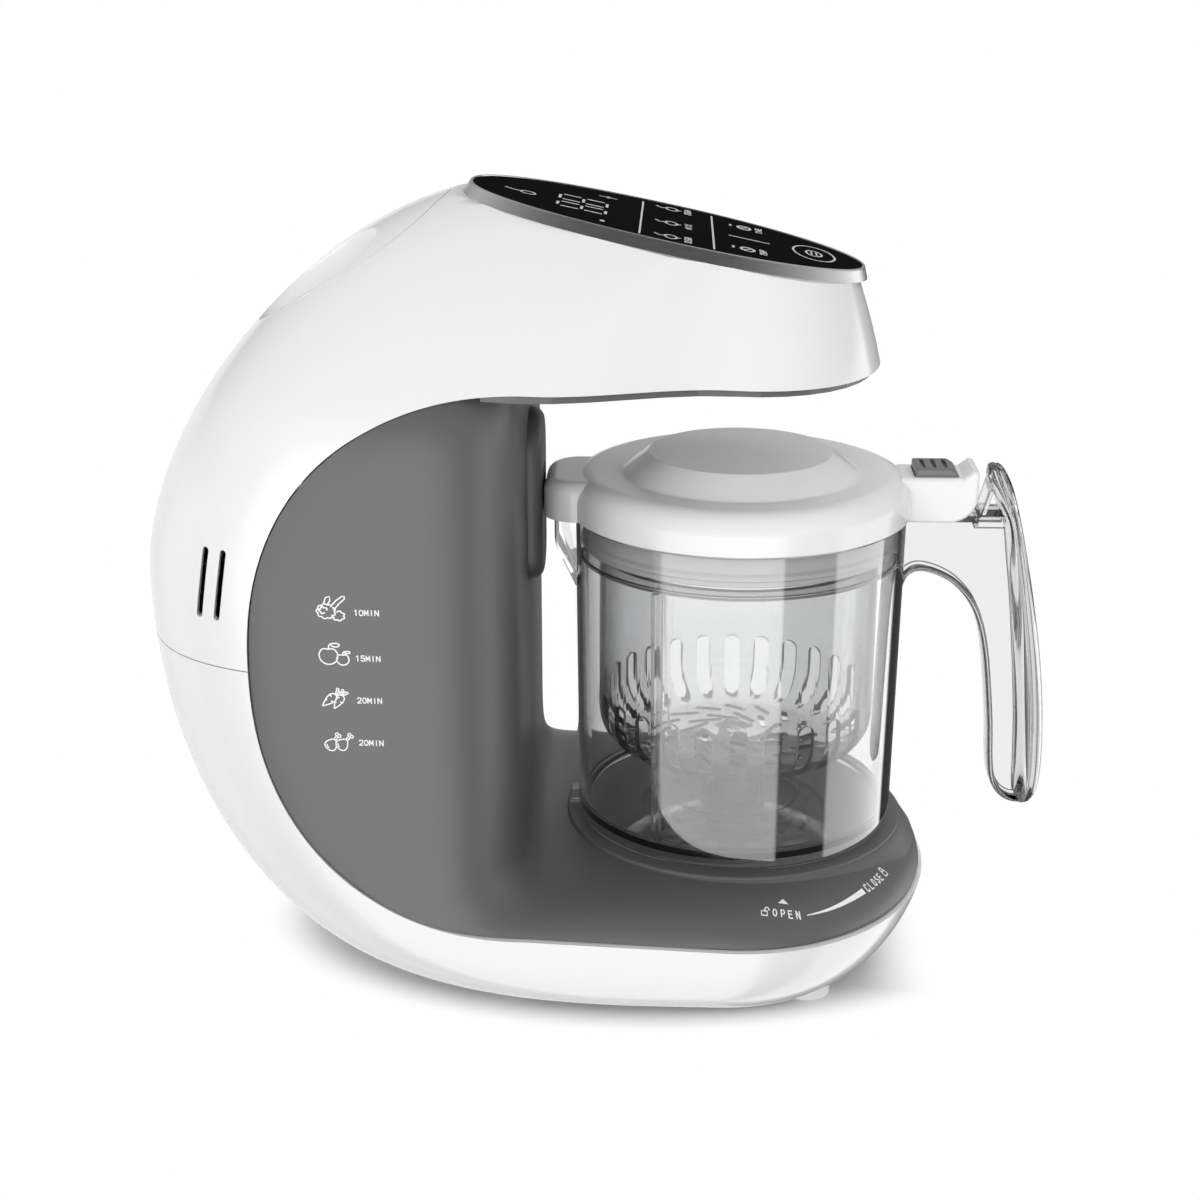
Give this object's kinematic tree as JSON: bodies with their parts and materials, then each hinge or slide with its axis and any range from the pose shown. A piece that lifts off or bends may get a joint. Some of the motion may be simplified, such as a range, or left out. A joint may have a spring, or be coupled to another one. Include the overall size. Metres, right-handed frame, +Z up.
{
  "type": "baby food steamer blender",
  "caption": "C-shaped countertop steamer blender with a clear handled jar under a head that carries a sloping oval touch panel; steams and blends baby food.",
  "frame": {"origin": "middle of the bounding box's bottom, on the table under the feet", "axes": "+X to the appliance's front, where the jar handle points; +Z up; +Y to its left"},
  "size_m": [0.3, 0.166, 0.2612],
  "materials": {
    "white_shell": "gloss",
    "grey_plastic": "satin",
    "bezel_metal": "brushed",
    "panel_black": "gloss",
    "dark_plastic": "satin",
    "circuit_board": "satin",
    "clear_plastic": "clear",
    "clear_tube": "clear",
    "steel": "satin",
    "white_rubber": "matte",
    "soft_rubber": "matte"
  },
  "bodies": {
    "housing": {"upper_shell": "white_shell", "lower_shell": "white_shell", "foot_front_left": "white_rubber", "foot_front_right": "white_rubber", "foot_rear_left": "white_rubber", "foot_rear_right": "white_rubber", "inner_housing": "grey_plastic", "head_cover": "grey_plastic", "steam_outlet": "grey_plastic", "motor_shelf": "grey_plastic", "bearing_holder": "grey_plastic", "bayonet_ring": "grey_plastic", "bottom_cover": "grey_plastic", "panel_bezel": "bezel_metal", "touch_panel": "panel_black", "display_module": "dark_plastic", "water_pump": "dark_plastic", "thermostat": "dark_plastic", "control_board": "circuit_board", "power_board": "circuit_board", "water_tank": "clear_plastic", "tank_tube": "clear_tube", "feed_tube": "clear_tube", "steam_tube": "clear_tube", "boiler": "steel", "motor": "steel", "upper_bearing": "steel", "lower_bearing": "steel", "cover_screws": "steel", "outlet_seal": "soft_rubber", "drive_belt": "soft_rubber", "cord_inlet": "soft_rubber"},
    "motor_pulley_set": {"motor_pulley": "dark_plastic"},
    "drive_set": {"driven_pulley": "dark_plastic", "drive_shaft": "steel", "drive_coupling": "dark_plastic"},
    "jar_set": {"jar": "clear_plastic", "jar_handle": "clear_plastic", "blade_collar": "clear_plastic", "blade_bush": "steel", "shaft_seal": "soft_rubber"},
    "blade_set": {"blade_shaft": "steel", "blade_hub": "steel", "blade": "steel", "blade_nut": "steel", "jar_coupling": "dark_plastic"},
    "basket": {"steam_basket": "clear_plastic"},
    "lid_set": {"lid": "white_shell", "lid_seal": "soft_rubber", "button_spring": "steel"},
    "button": {"lid_button": "grey_plastic"},
    "tank_cap": {"tank_lid": "white_shell"}
  },
  "joints": [
    {"name": "drive_spin", "type": "hinge", "parent": "housing", "child": "drive_set", "pos_m": [0.044, 0, 0], "axis": [0, 0, 1], "continuous": true},
    {"name": "motor_spin", "type": "hinge", "parent": "housing", "child": "motor_pulley_set", "pos_m": [-0.064, 0, 0], "axis": [0, 0, 1], "continuous": true},
    {"name": "jar_turn", "type": "hinge", "parent": "housing", "child": "jar_set", "pos_m": [0.044, 0, 0], "axis": [0, 0, 1], "range_deg": [-35, 0]},
    {"name": "blade_spin", "type": "hinge", "parent": "jar_set", "child": "blade_set", "pos_m": [0.044, 0, 0], "axis": [0, 0, 1], "continuous": true},
    {"name": "lid_lift", "type": "slide", "parent": "jar_set", "child": "lid_set", "axis": [0, 0, 1], "range_m": [0, 0.024]},
    {"name": "lid_button_press", "type": "slide", "parent": "lid_set", "child": "button", "axis": [0, 0, -1], "range_m": [0, 0.0025], "stiffness_N_per_m": 400, "springref_m": -0.001, "deforming": ["button_spring"]},
    {"name": "basket_lift", "type": "slide", "parent": "jar_set", "child": "basket", "axis": [0, 0, 1], "range_m": [0, 0.012]},
    {"name": "tank_lid_lift", "type": "slide", "parent": "housing", "child": "tank_cap", "axis": [0, 0, 1], "range_m": [0, 0.025]}
  ],
  "couplings": [
    {"joint": "motor_spin", "follows": "drive_spin", "ratio": 2},
    {"joint": "blade_spin", "follows": "drive_spin", "ratio": 1},
    {"joint": "basket_lift", "follows": "lid_lift", "ratio": 0.5}
  ]
}
